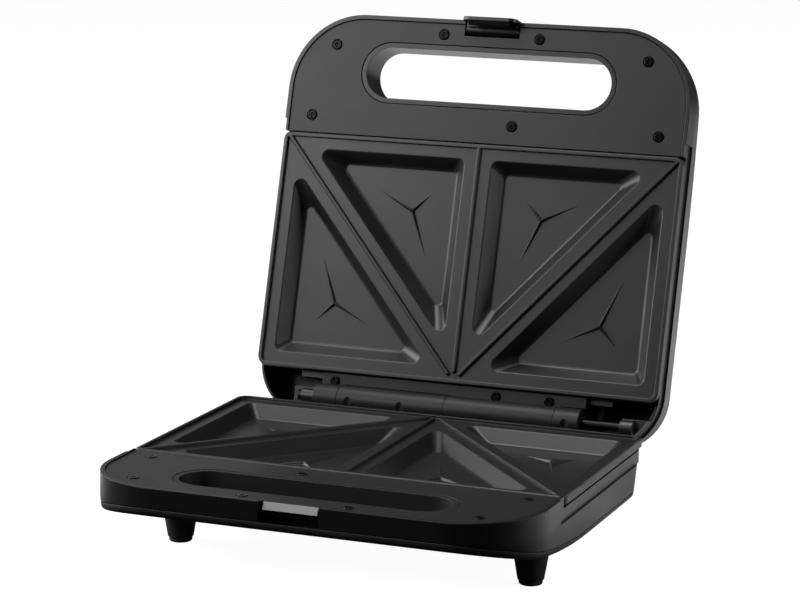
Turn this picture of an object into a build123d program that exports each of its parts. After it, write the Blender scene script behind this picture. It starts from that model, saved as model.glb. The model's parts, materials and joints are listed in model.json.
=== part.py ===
from build123d import *
import math
import os

# Sandwich toaster, millimetres.  +Z up, front (handles and latch) towards -Y, +X to the right seen from the
# front.  Everything is first modelled in a half frame: X across, Y = 0 on the hinge axis with the front
# towards -Y, Z = 0 on the plane where the closed halves meet and the inside of a half below it.  The base
# stays as modelled.  Lid pieces are turned over about Y and then opened about the hinge axis.  At the end
# the whole object is moved so that its origin is at the middle of its bounding box, on the table.

# --- driving dimensions: the object as a whole ---------------------------------------------------------
LID_OPEN_ANGLE = 106.7        # degrees the lid is open at rest
HINGE_Z = -1.25               # hinge axis below the closing plane
FRONT = 218.7                 # handle rim in front of the hinge axis
HALF_WIDTH = 118.7            # half width over the handle rim
DEPTH = 31.2                  # closing plane to the outer face of a half
LEG_LENGTH = 19.6             # outer face of the base to the table
RIM_RADIUS = 43.3             # plan corner radius of the handle rim
HANDLE_DEPTH = 68.8           # handle rim to the rear edge of its panel
KNUCKLE_RADIUS = 8.0
KNUCKLE_CLEARANCE = 0.5       # from a knuckle to the other half's rear edge
BASE_REAR_RADIUS = 25.0
LID_REAR = -13.0              # lid rear wall, behind the hinge axis
LID_REAR_RADIUS = 32.0

# --- fits ----------------------------------------------------------------------------------------------
HOLE_CLEARANCE = 0.05
HEAD_CLEARANCE = 0.4
STOP_GAP = 0.3                # between the lid's heels and the base when the lid is open
SEAT_GAP = 0.1                # under a panel, over the ledge that carries it
BEHIND = 30.0                 # how far cutting blocks run past the object

# --- shells --------------------------------------------------------------------------------------------
WALL = 2.5
SKIN = 2.5                    # thickness of a half's outer face
BULGE = 0.2                   # how far the wall stands out past the rim
BULGE_Z = -13.0               # where the wall is widest
LOWER_TAPER = 5.4             # degrees the wall leans in below there
BULGE_FILLET = 25.0
CURVE_SETBACK = 44.0          # from the panel's rear edge back to where the outer face starts to curve up
HANDLE_CURVE_RADIUS = 392.0
LID_EDGE = 3.5                # rounding of the outer face's edge
COVER_EDGE = 3.0
RIM_Z = -0.3
LOW_RIM_Z = -6.4              # rim beside the cooking plate
BAND_Z = -12.9                # foot of the inset band under that rim
BAND_INSET = 1.2              # inset of the band from the widest wall, at the sides
BAND_REAR_INSET = 1.9
BAND_CORNER = 15.0            # rear corner of the base's band; it stands out over the rounder wall below
BAND_PAST_PANEL = 7.1         # how far the band runs on beside the panel
COVER_HEIGHT = 4.0            # outer face to the joint of base shell and bottom cover
PARTING_GAP = 0.35
CROSS_WALL = 2.5              # wall between plate and handle
CROSS_WALL_GAP = 0.5          # that wall behind the panel's edge

# --- handle panel --------------------------------------------------------------------------------------
PANEL_GAP = 0.35
PANEL_EDGE = 2.7              # rim width outside the panel
PANEL_Z = -1.0
PANEL_THICKNESS = 2.5
PANEL_REAR_RADIUS = 0.6
SLOT_HALF_LENGTH = 75.65
SLOT_WIDTH = 35.3
SLOT_TO_RIM = 14.6
SLOT_WALL = 2.7
SLOT_WALL_Z = -1.2
SLOT_GAP = 0.45
WEB_SLOT_GAP = 0.4
SCREW_SIDE = 13.4             # panel edge to the screws beside the slot
SCREW_REAR = 9.8              # panel rear to those screws
SCREW_CORNER = (23.7, 15.2)   # panel edges to the screws in its corners
SCREW_FRONT_X = 28.3
SCREW_FRONT = 6.2             # panel front to the screws beside the latch
SCREW_MIDDLE = (-17.8, 10.2)  # single screw at the panel's rear edge
PANEL_SCREW_LENGTH = 9.0
HEAD_PROUD = 0.4              # panel screw heads above the panel
WEB_TOP = -6.6                # web that carries the base panel's bosses
WEB_THICKNESS = 1.8

# --- screws --------------------------------------------------------------------------------------------
HEAD_RADIUS = 2.8
HEAD_HEIGHT = 1.3
SHANK_RADIUS = 1.45
PILOT_DEPTH = 8.0             # screw holes below the seat of the piece they hold
BOSS_RADIUS = 3.5

# --- cooking plate -------------------------------------------------------------------------------------
PLATE_SIDE_STEP = 0.5         # plate edge inside the handle rim's width
PLATE_SETBACK = 6.5           # plate behind the base's rear wall
PLATE_GAP = 0.6               # between the plate and the handle panel
PLATE_REAR_RADIUS = 6.0
PLATE_FRONT_RADIUS = 4.0
RIDGE_Z = -0.6
MARGIN_Z = -2.3
PLATE_UNDER = -5.0
RIDGE_WIDTH = 2.2
POCKET_Z = -10.0
POCKET_SLOPE = 6.0            # how far a pocket's floor is drawn in from its mouth
POCKET_CORNER = 4.0
POCKET_FLOOR_CORNER = 3.2
POCKET_FLOOR_FILLET = 2.0
POCKET_MOUTH_FILLET = 0.8
POCKET_SKIN = 2.4
SIDE_MARGIN = 9.2             # pocket mouth to plate side
FRONT_MARGIN = 8.8
REAR_MARGIN = 9.0
RIDGE_MARGIN = 7.5            # pocket mouth to a ridge's centre line
CENTRE_MARGIN = 8.0           # pocket mouth to the plate's middle
DIAGONAL_START = (3.5, 5.5)   # rear end of a diagonal ridge, from the plate's middle and rear
DIAGONAL_END = (3.7, 2.3)     # its front end, from the plate's side and front
CENTRE_RIDGE_END = (7.0, 1.0)
MARK_INSET = 30.3             # middle of a pocket's Y mark, from its two square sides
MARK_REACH = 0.42             # share of the way to each corner that an arm runs
MARK_HALF_WIDTH = 1.7
MARK_HEIGHT = 1.7
MARK_ROOT = 1.0               # how deep a mark's arms stand in the pocket floor
TAB_X = 60.0
TAB_HALF_WIDTH = 6.0
TAB_REACH = 8.5
TAB_THICKNESS = 1.6
TAB_SCREW = 5.5               # plate edge to a tab's screw
TAB_ROOT = 2.3                # how far a tab starts inside the plate's edge
TAB_NOTCH_GAP = 0.6
TAB_SCREW_LENGTH = 5.5
PLATE_BOSS_SETBACK = 9.5      # plate's rear edge to its rear boss
PLATE_BOSS_DEPTH = 5.0
PLATE_SEAT = 3.0              # thickness of the seat under that boss
PLATE_SCREW_LENGTH = 7.0

# --- heating -------------------------------------------------------------------------------------------
ELEMENT_RADIUS = 3.25
ELEMENT_INSET = 6.0           # plate's front and rear edges to the tube's middle
ELEMENT_SIDE_INSET = 6.3
ELEMENT_BEND = 7.5
ELEMENT_END = 14.0
PIN_RADIUS = 1.2
PIN_LENGTH = 4.5
PIN_ROOT = 1.0                # how far a terminal pin starts inside the tube
LUG_THICKNESS = 0.9
LUG_WIDTH = 8.0
LUG_Y = 84.0                  # side lugs, in front of the hinge axis
REFLECTOR_DROP = 4.6          # pockets' underside to the reflector
REFLECTOR_THICKNESS = 0.8
REFLECTOR_SIDE_INSET = 11.7   # plate's edges to the reflector's
REFLECTOR_REAR_INSET = 15.0
REFLECTOR_FRONT_INSET = 13.3
REFLECTOR_CORNER = 8.0
REFLECTOR_LIP = 2.5
REFLECTOR_LUG_INSET = (4.5, 22.0, 24.0)   # side, rear and front edges to its screws
REFLECTOR_LUG_HALF = 4.0
REFLECTOR_SCREW_LENGTH = 4.5
REFLECTOR_HEAD_RADIUS = 2.4

# --- hinge ---------------------------------------------------------------------------------------------
KNUCKLE_SPLIT = 63.5          # joint between the long and the short knuckles, from the middle
STRIP_HALF_LENGTH = 77.8
KNUCKLE_GAP = 0.25
STRIP_TOP = -3.0
STRIP_PLATE_GAP = 0.7         # between the strip and the cooking plate
STRIP_SCREWS_X = (70.3, -25.6, -56.6)
STRIP_SCREW_SETBACK = 1.8     # from the strip's rear edge
STRIP_SCREW_LENGTH = 8.0
STRIP_SEAT_DEPTH = 6.5
STRIP_SEAT_REACH = 1.2        # seat past the strip's front edge
HINGE_PIN_RADIUS = 2.9
EAR_WIDTH = 13.0
LEFT_EAR_GAP = 1.2            # strip's end to the left ear
RIGHT_EAR_INSET = (18.4, 3.7) # from the handle rim's side
PIN_INSET = 2.5               # left pin end inside its ear
PIN_IN_RIGHT_EAR = 5.7
EAR_FRONT = 5.0
EAR_BOSS_RADIUS = 4.4
EAR_BOSS_LENGTH = 7.2
HEEL_FRONT = -4.5             # the heels lie behind the pin
HEEL_ROOT = 1.0

# --- latch: distances behind the handle rim unless named otherwise --------------------------------------
LATCH_HALF_WIDTH = 15.8
LATCH_GAP = 0.5
LATCH_PIVOT_SETBACK = 5.1
LATCH_PIVOT_Z = -4.9
LATCH_PLATE_SETBACK = 1.3
LATCH_PLATE_THICKNESS = 2.0
LATCH_TOP = 8.2
LATCH_BOTTOM = -7.4
LATCH_CORNER = 4.0
LATCH_HUB_RADIUS = 3.2
LATCH_PIN_RADIUS = 1.2
LATCH_PIN_END = 3.5           # latch pin past each side of the notch
LATCH_NOTCH_SETBACK = 9.0
LATCH_RECESS_FLOOR = -10.2
LATCH_CHEEK = 5.0
LATCH_WALL = 1.7
LATCH_SWING_ROUND = 1.6
HOOK_SETBACK = 3.7
HOOK_INSET = 4.0
HOOK_LIP = 1.0
HOOK_GAP = 0.3
CATCH_BOTTOM = -4.9
CATCH_TOP = -1.3
CATCH_SETBACK = 1.8           # lower edge of the catch; its upper edge leans back
CATCH_LEAN = 1.9
CATCH_THICKNESS = 1.0
CATCH_INSET = 1.2
CATCH_SHEET = 0.8
CATCH_TONGUE = 12.7
PANEL_CUT_SETBACK = 4.7       # base panel's edge behind the catch

# --- feet, lamps and fittings in the base --------------------------------------------------------------
FOOT_INSET = 21.7             # handle rim's side to the front feet
FOOT_TO_PANEL = 12.9          # panel's rear edge to the front feet
REAR_FOOT_INSET = 40.7
REAR_FOOT_SETBACK = 14.0      # base's rear wall to the top of the rear legs
REAR_LEG_RAKE = 9.0           # how far the rear legs lean back, from top to end
LEG_TOP_RADIUS = 10.1
LEG_END_RADIUS = 6.8
LEG_WALL = 2.5
LEG_JOIN = 0.5                # how far a leg runs into the cover over it
PAD_HEIGHT = 2.7
PAD_RADIUS = 6.1
PAD_EDGE = 1.0
PAD_PLUG_RADIUS = 3.0
PAD_PLUG_LENGTH = 4.0
PLUG_HOLE_SPARE = 2.0
COVER_SCREW_INSET = 6.2
COVER_SCREW_REAR = 27.5
COVER_SCREW_FRONT = 15.9
COVER_SCREW_MIDDLE = 6.6
COVER_SCREW_LENGTH = 7.0
COVER_BOSS_HEIGHT = 12.0
SUNK = 0.3                    # cover screw heads inside the outer face
LAMP_X = 11.0
LAMP_TO_PANEL = 6.1
LAMP_RADIUS = 3.0
LAMP_LENGTH = 5.5
LAMP_RIM = 1.2
HOLDER_SIZE = (28.5, 7.0, 5.0)
HOLDER_OFFSET = 1.25
INLET_X = 48.0
INLET_HEIGHT = 6.5            # above the parting of base shell and cover
INLET_RADIUS = 4.6
INLET_BORE = 3.0
BLOCK_SIZE = (24.0, 12.0, 8.0)
BLOCK_SETBACK = 13.5
BLOCK_HOLE_RADIUS = 1.8
THERMOSTAT_X = 30.0
THERMOSTAT_RADIUS = 7.0
HEAT_PARTS_Y = 62.0           # thermostat and fuse, in front of the hinge axis
THERMOSTAT_HEIGHT = 5.5
BLADE = (12.0, 6.0, 0.8)
BLADE_DROP = 4.5
FUSE_RADIUS = 2.0
FUSE_END = 6.0
FUSE_LENGTH = 14.0
WIRE_RADIUS = 1.0
WIRE_BEND = 2.5
SLEEVE_RADIUS = 2.2
SLEEVE_X = 84.0
SLEEVE_START = 18.0
SLEEVE_Z = -15.0

# --- places that follow from those ----------------------------------------------------------------------
TABLE_Z = -(DEPTH + LEG_LENGTH)
BASE_REAR = KNUCKLE_RADIUS + KNUCKLE_CLEARANCE
PANEL_REAR = FRONT - HANDLE_DEPTH
PANEL_BOTTOM = PANEL_Z - PANEL_THICKNESS
PANEL_HALF_WIDTH = HALF_WIDTH - PANEL_EDGE
PANEL_FRONT = FRONT - PANEL_EDGE
PANEL_RADIUS = RIM_RADIUS - PANEL_EDGE
HANDLE_CURVE_START = PANEL_REAR - CURVE_SETBACK
BAND_END = PANEL_REAR + BAND_PAST_PANEL
PARTING_DEPTH = DEPTH - COVER_HEIGHT
CAVITY_DEPTH = DEPTH - SKIN
UPPER_TAPER = math.degrees(math.atan(BULGE / (RIM_Z - BULGE_Z)))
SLOT_FRONT = FRONT - SLOT_TO_RIM
SLOT_REAR = SLOT_FRONT - SLOT_WIDTH
PLATE_HALF_WIDTH = HALF_WIDTH - PLATE_SIDE_STEP
PLATE_REAR = BASE_REAR + PLATE_SETBACK
PLATE_FRONT = PANEL_REAR - PLATE_GAP
PLATE_BOSS_Y = PLATE_REAR + PLATE_BOSS_SETBACK
TAB_SCREW_Y = PLATE_FRONT + TAB_SCREW
DIAGONAL_REAR = (DIAGONAL_START[0], PLATE_REAR + DIAGONAL_START[1])
DIAGONAL_FRONT = (PLATE_HALF_WIDTH - DIAGONAL_END[0], PLATE_FRONT - DIAGONAL_END[1])
ELEMENT_Z = PLATE_UNDER - ELEMENT_RADIUS - HOLE_CLEARANCE
REFLECTOR_Z = POCKET_Z - POCKET_SKIN - REFLECTOR_DROP
REFLECTOR_LOW = REFLECTOR_Z - REFLECTOR_THICKNESS
BLADE_Z = REFLECTOR_LOW - BLADE_DROP + BLADE[2] / 2
REFLECTOR_HALF_WIDTH = PLATE_HALF_WIDTH - REFLECTOR_SIDE_INSET
REFLECTOR_REAR = PLATE_REAR + REFLECTOR_REAR_INSET
REFLECTOR_FRONT = PLATE_FRONT - REFLECTOR_FRONT_INSET
STRIP_FRONT = PLATE_REAR - STRIP_PLATE_GAP
STRIP_SEAT_FRONT = STRIP_FRONT + STRIP_SEAT_REACH
LEFT_EAR = (-STRIP_HALF_LENGTH - LEFT_EAR_GAP - EAR_WIDTH, -STRIP_HALF_LENGTH - LEFT_EAR_GAP)
RIGHT_EAR = (HALF_WIDTH - RIGHT_EAR_INSET[0], HALF_WIDTH - RIGHT_EAR_INSET[1])
PIN_LEFT = LEFT_EAR[0] + PIN_INSET
PIN_RIGHT = RIGHT_EAR[0] + PIN_IN_RIGHT_EAR
EAR_REAR = LID_REAR + WALL
LATCH_PIVOT_Y = FRONT - LATCH_PIVOT_SETBACK
LATCH_PLATE_INNER = FRONT - LATCH_PLATE_SETBACK
LATCH_NOTCH_REAR = FRONT - LATCH_NOTCH_SETBACK
LATCH_NOTCH = LATCH_HALF_WIDTH + LATCH_GAP
HOOK_TIP = FRONT - HOOK_SETBACK
CATCH_FRONT = FRONT - CATCH_SETBACK
CATCH_REAR = FRONT - CATCH_TONGUE
PANEL_CUT_BACK = FRONT - PANEL_CUT_SETBACK
LAMP_Y = PANEL_REAR + LAMP_TO_PANEL
INLET_Z = -PARTING_DEPTH + INLET_HEIGHT
BLOCK_REAR = BASE_REAR + BLOCK_SETBACK
COVER_BOSS_TOP = -PARTING_DEPTH + COVER_BOSS_HEIGHT
LAST_WALL = PANEL_REAR + CROSS_WALL_GAP + CROSS_WALL


def both_sides(x, *rows):
    """The points (-x, y) and (x, y) for each y."""
    return tuple((side * x, y) for y in rows for side in (-1, 1))


PANEL_SCREWS = (both_sides(PANEL_HALF_WIDTH - SCREW_SIDE, PANEL_REAR + SCREW_REAR)
                + both_sides(PANEL_HALF_WIDTH - SCREW_CORNER[0], PANEL_FRONT - SCREW_CORNER[1])
                + both_sides(SCREW_FRONT_X, PANEL_FRONT - SCREW_FRONT)
                + ((SCREW_MIDDLE[0], PANEL_REAR + SCREW_MIDDLE[1]),))
REFLECTOR_LUGS = both_sides(REFLECTOR_HALF_WIDTH - REFLECTOR_LUG_INSET[0],
                            REFLECTOR_REAR + REFLECTOR_LUG_INSET[1], REFLECTOR_FRONT - REFLECTOR_LUG_INSET[2])
BRACKET_SCREWS = tuple((x, BASE_REAR + STRIP_SCREW_SETBACK) for x in STRIP_SCREWS_X)
FRONT_LEGS = both_sides(HALF_WIDTH - FOOT_INSET, PANEL_REAR - FOOT_TO_PANEL)
REAR_LEGS = both_sides(HALF_WIDTH - REAR_FOOT_INSET, BASE_REAR + REAR_FOOT_SETBACK)
LEGS = [(x, y, 0.0) for x, y in FRONT_LEGS] + [(x, y, REAR_LEG_RAKE) for x, y in REAR_LEGS]
COVER_SCREWS = (both_sides(HALF_WIDTH - COVER_SCREW_INSET,
                           BASE_REAR + COVER_SCREW_REAR, PANEL_REAR - COVER_SCREW_FRONT)
                + ((0.0, PANEL_REAR + COVER_SCREW_MIDDLE),))


# --- placing -------------------------------------------------------------------------------------------
def open_lid(piece):
    """Turn a half over about Y, then open it about the hinge axis."""
    hinge = Axis((0, 0, HINGE_Z), (1, 0, 0))
    return piece.rotate(Axis.Y, 180).rotate(hinge, -LID_OPEN_ANGLE)


def plan(half_width, front, rear, front_radius, rear_radius):
    """Plan outline of a half: a rectangle with its own front and rear corner radii."""
    outline = Pos(0, -(front + rear) / 2) * Rectangle(2 * half_width, front - rear)
    outline = fillet(outline.vertices().group_by(Axis.Y)[0], front_radius)
    return fillet(outline.vertices().group_by(Axis.Y)[-1], rear_radius)


def between(outline, low, high):
    """Extrude a plan outline between two heights."""
    return Pos(0, 0, low) * extrude(outline, high - low)


def block(x0, x1, front, rear, low, high):
    """Box by its X range, its distances in front of the hinge axis and its heights."""
    centre = Pos((x0 + x1) / 2, -(front + rear) / 2, (low + high) / 2)
    return centre * Box(abs(x1 - x0), abs(front - rear), high - low)


def slab(front, rear, low, high):
    """Block that runs past both sides of the object."""
    return block(-HALF_WIDTH - BEHIND, HALF_WIDTH + BEHIND, front, rear, low, high)


def post(x, y, radius, low, high):
    """Upright cylinder at a distance y in front of the hinge axis."""
    return Pos(x, -y, (low + high) / 2) * Cylinder(radius, high - low)


def screw_hole(x, y, low, high):
    """Upright hole that a screw's shank passes."""
    return post(x, y, SHANK_RADIUS + HOLE_CLEARANCE, low, high)


def head_hole(x, y, low, high):
    """Upright hole that a screw's head passes."""
    return post(x, y, HEAD_RADIUS + HEAD_CLEARANCE, low, high)


def lying(radius, x0, x1, y, z):
    """Cylinder along X, at a distance y in front of the hinge axis."""
    return Pos((x0 + x1) / 2, -y, z) * Rot(0, 90, 0) * Cylinder(radius, abs(x1 - x0))


def stadium(inset, low, high):
    """Upright prism on the handle slot's outline, drawn in by inset."""
    length = 2 * (SLOT_HALF_LENGTH - inset)
    outline = Pos(0, -(SLOT_FRONT + SLOT_REAR) / 2) * SlotOverall(length, SLOT_WIDTH - 2 * inset)
    return between(outline, low, high)


def screw(x, y, top, length, head_radius=HEAD_RADIUS, head_height=HEAD_HEIGHT):
    """Pan-head cross-recess screw pointing down, its head's top at the given height."""
    seat = top - head_height
    head = post(x, y, head_radius, seat, top)
    head = fillet(head.edges().group_by(Axis.Z)[-1], head_height * 0.45)
    shank = post(x, y, SHANK_RADIUS, seat - length, seat)
    arm = 1.15 * head_radius
    wing = 0.16 * arm + 0.35
    recess = Box(arm, wing, head_height * 1.2) + Box(wing, arm, head_height * 1.2)
    return head + shank - Pos(x, -y, top) * recess


# --- shells --------------------------------------------------------------------------------------------
def rise(y):
    """How far a half's outer face has curved up at a distance y in front of the hinge axis."""
    past = max(0.0, y - HANDLE_CURVE_START)
    return HANDLE_CURVE_RADIUS - math.sqrt(HANDLE_CURVE_RADIUS ** 2 - past ** 2)


def under(depth):
    """Everything above a half's outer face, where that face lies at the given depth."""
    far = FRONT + BEHIND
    start = HANDLE_CURVE_START
    halfway = start + HANDLE_CURVE_RADIUS * math.sin(math.asin((far - start) / HANDLE_CURVE_RADIUS) / 2)
    outline = Polyline((-far, rise(far) - depth), (-far, BEHIND), (2 * BEHIND, BEHIND), (2 * BEHIND, -depth),
                       (-start, -depth))
    curve = ThreePointArc((-start, -depth), (-halfway, rise(halfway) - depth), (-far, rise(far) - depth))
    return extrude(Plane.YZ * make_face(outline + curve), HALF_WIDTH + BEHIND, both=True)


def body(rear, rear_radius, inset, depth):
    """Solid half with leaning walls; inset draws the plan in, depth places the outer face."""
    widest = BULGE - inset
    outline = plan(HALF_WIDTH + widest, FRONT + widest, rear + inset,
                   RIM_RADIUS + widest, rear_radius - inset)
    upper = extrude(outline, -BULGE_Z + 1, taper=UPPER_TAPER)
    lower = extrude(outline, BULGE_Z + DEPTH + 3, dir=(0, 0, -1), taper=LOWER_TAPER)
    solid = Pos(0, 0, BULGE_Z) * (upper + lower)
    if inset == 0:
        crease = solid.edges().filter_by_position(Axis.Z, BULGE_Z - 0.01, BULGE_Z + 0.01)
        solid = fillet(crease, BULGE_FILLET)
    return solid & under(depth)


def shell_outside(rear, rear_radius, band_corner, edge):
    """Outer form of a half: body with a rounded outer edge, low rim and inset band."""
    solid = body(rear, rear_radius, 0, DEPTH)
    flat, curved = solid.faces().sort_by(Axis.Z)[:2]
    shared = -HANDLE_CURVE_START
    rims = [line for line in flat.edges() + curved.edges() if abs(line.center().Y - shared) > 0.01]
    solid = fillet(rims, edge)
    band = plan(HALF_WIDTH + BULGE - BAND_INSET, FRONT, rear + BAND_REAR_INSET, RIM_RADIUS, band_corner)
    beside = slab(BAND_END, rear - BEHIND, BAND_Z, BEHIND)
    solid = solid - beside + (beside & between(band, BAND_Z, 0))
    solid -= slab(PANEL_REAR, rear - BEHIND, LOW_RIM_Z, BEHIND)
    return solid - slab(FRONT + BEHIND, PANEL_REAR - 1, RIM_Z, BEHIND)


def panel_outline(gap):
    """The handle panel's outline, grown by gap."""
    return plan(PANEL_HALF_WIDTH + gap, PANEL_FRONT + gap, PANEL_REAR - gap, PANEL_RADIUS + gap, PANEL_REAR_RADIUS)


def cross_wall(low):
    """Wall between plate and handle, notched for the plate's two tabs."""
    half = PANEL_HALF_WIDTH - CROSS_WALL_GAP
    wall = block(-half, half, LAST_WALL, LAST_WALL - CROSS_WALL, low, PANEL_BOTTOM)
    for x in (-TAB_X, TAB_X):
        reach = TAB_HALF_WIDTH + TAB_NOTCH_GAP
        wall -= block(x - reach, x + reach, LAST_WALL + CROSS_WALL, PANEL_REAR, WEB_TOP, 0)
    return wall


def blind_holes():
    """Holes for the screws of the panel, the plate's tabs, the hinge bracket and the reflector."""
    holes = [screw_hole(x, y, PANEL_BOTTOM - PILOT_DEPTH, 0) for x, y in PANEL_SCREWS]
    holes += [screw_hole(x, TAB_SCREW_Y, WEB_TOP - PILOT_DEPTH, 0) for x in (-TAB_X, TAB_X)]
    holes += [screw_hole(x, y, LOW_RIM_Z - PILOT_DEPTH, 0) for x, y in BRACKET_SCREWS]
    return holes + [screw_hole(x, y, REFLECTOR_LOW - PILOT_DEPTH, REFLECTOR_Z) for x, y in REFLECTOR_LUGS]


def base_shell():
    """Walls of the base, with the web, bosses and lugs that carry what is inside it."""
    shell = shell_outside(BASE_REAR, BASE_REAR_RADIUS, BAND_CORNER, COVER_EDGE) & under(PARTING_DEPTH)
    inside = body(BASE_REAR, BASE_REAR_RADIUS, WALL, DEPTH + 2)
    handle_front = slab(FRONT + BEHIND, LAST_WALL, WEB_TOP - WEB_THICKNESS, WEB_TOP)
    shell = shell - inside - between(panel_outline(PANEL_GAP), PANEL_BOTTOM - SEAT_GAP, BEHIND)
    web = (inside & handle_front) - stadium(-WEB_SLOT_GAP, -DEPTH, BEHIND)
    shell = shell + web + cross_wall(WEB_TOP - 8)
    for x, y in PANEL_SCREWS:
        shell += post(x, y, BOSS_RADIUS, WEB_TOP, PANEL_BOTTOM)
    shell += block(-STRIP_HALF_LENGTH, STRIP_HALF_LENGTH, STRIP_SEAT_FRONT, KNUCKLE_RADIUS - 0.2,
                   LOW_RIM_Z - STRIP_SEAT_DEPTH, LOW_RIM_Z)
    for x, y in COVER_SCREWS:
        shell += post(x, y, BOSS_RADIUS + 0.5, -PARTING_DEPTH, COVER_BOSS_TOP) & under(PARTING_DEPTH)
    for x, y in REFLECTOR_LUGS:
        side = math.copysign(1, x)
        high = REFLECTOR_LOW
        half = REFLECTOR_LUG_HALF
        shell += inside & block(x - half * side, side * HALF_WIDTH, y + half, y - half, high - half, high)
    catch_seat = PANEL_BOTTOM - CATCH_SHEET
    half = LATCH_HALF_WIDTH - 2
    shell += block(-half, half, LATCH_PIVOT_Y - 1.6, CATCH_REAR, WEB_TOP, catch_seat)
    boss_seat = PLATE_UNDER - PLATE_BOSS_DEPTH
    shell += post(0, PLATE_BOSS_Y, BOSS_RADIUS, boss_seat - PLATE_SEAT, boss_seat)
    shell += block(-3, 3, PLATE_BOSS_Y, BASE_REAR + WALL, boss_seat - PLATE_SEAT, boss_seat)
    shell -= block(-LATCH_NOTCH, LATCH_NOTCH, FRONT + BEHIND, LATCH_PIVOT_Y - 0.3, -PARTING_DEPTH + 5, catch_seat)
    shell -= block(-LATCH_NOTCH, LATCH_NOTCH, FRONT + BEHIND, PANEL_FRONT - SEAT_GAP, -PARTING_DEPTH + 5, BEHIND)
    shell -= blind_holes()
    for x, y in COVER_SCREWS:
        shell -= screw_hole(x, y, -DEPTH, COVER_BOSS_TOP - 2)
    shell -= screw_hole(0, PLATE_BOSS_Y, -DEPTH, PLATE_UNDER)
    shell -= on_rear_wall(INLET_X, INLET_Z) * Cylinder(INLET_RADIUS, 4 * WALL)
    return shell - sleeve_hole(SLEEVE_X, BASE_REAR)


def on_face(x, y):
    """Place on a half's outer face, its Z axis square to the face and into the half."""
    lean = math.degrees(math.asin((y - HANDLE_CURVE_START) / HANDLE_CURVE_RADIUS))
    return Pos(x, -y, -DEPTH + rise(y)) * Rot(-lean, 0, 0)


def slot_wall():
    """Ring of the handle slot, from the outer face to just under the panel's face."""
    ring = stadium(SLOT_GAP, -DEPTH - 5, SLOT_WALL_Z) - stadium(SLOT_GAP + SLOT_WALL, -DEPTH - 6, BEHIND)
    return ring & under(DEPTH)


def leaning(x, y, rake, low, high, low_radius, high_radius):
    """A round taper that leans back by rake towards its low end."""
    return loft([Pos(x, rake - y, low) * Circle(low_radius), Pos(x, -y, high) * Circle(high_radius)])


def bottom_cover():
    """Shallow cover under the base, with the slot's ring and four hollow legs."""
    outside = shell_outside(BASE_REAR, BASE_REAR_RADIUS, BAND_CORNER, COVER_EDGE)
    cavity = body(BASE_REAR, BASE_REAR_RADIUS, WALL, CAVITY_DEPTH)
    cover = outside - under(PARTING_DEPTH + PARTING_GAP) - cavity
    cover = cover - stadium(SLOT_GAP, -2 * DEPTH, BEHIND) + slot_wall()
    leg_end = TABLE_Z + PAD_HEIGHT
    hollow_end = leg_end + PAD_PLUG_LENGTH + PLUG_HOLE_SPARE
    hollow_radius = LEG_END_RADIUS - LEG_WALL
    for x, y, rake in LEGS:
        top = -CAVITY_DEPTH + rise(y) + LEG_JOIN
        lift = post(x, y, LEG_TOP_RADIUS, -CAVITY_DEPTH, top)
        cover += leaning(x, y, rake, leg_end, -CAVITY_DEPTH, LEG_END_RADIUS, LEG_TOP_RADIUS) + (lift & under(DEPTH))
        hollow_rake = rake * (top - hollow_end) / (top - leg_end)
        cover -= leaning(x, y, hollow_rake, hollow_end, top + LEG_JOIN, hollow_radius, hollow_radius)
        cover -= post(x, y - rake, PAD_PLUG_RADIUS + HOLE_CLEARANCE, leg_end - 1, hollow_end)
    for x, y in COVER_SCREWS:
        up = rise(y)
        seat = post(x, y, BOSS_RADIUS, -CAVITY_DEPTH + up - 0.5, -PARTING_DEPTH + up + 2)
        cover += seat - under(PARTING_DEPTH + HOLE_CLEARANCE)
        cover -= screw_hole(x, y, -DEPTH - 2, -PARTING_DEPTH + up + 3)
        cover -= head_hole(x, y, -DEPTH - 2, -DEPTH + up + HEAD_HEIGHT + SUNK)
    return cover


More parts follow.
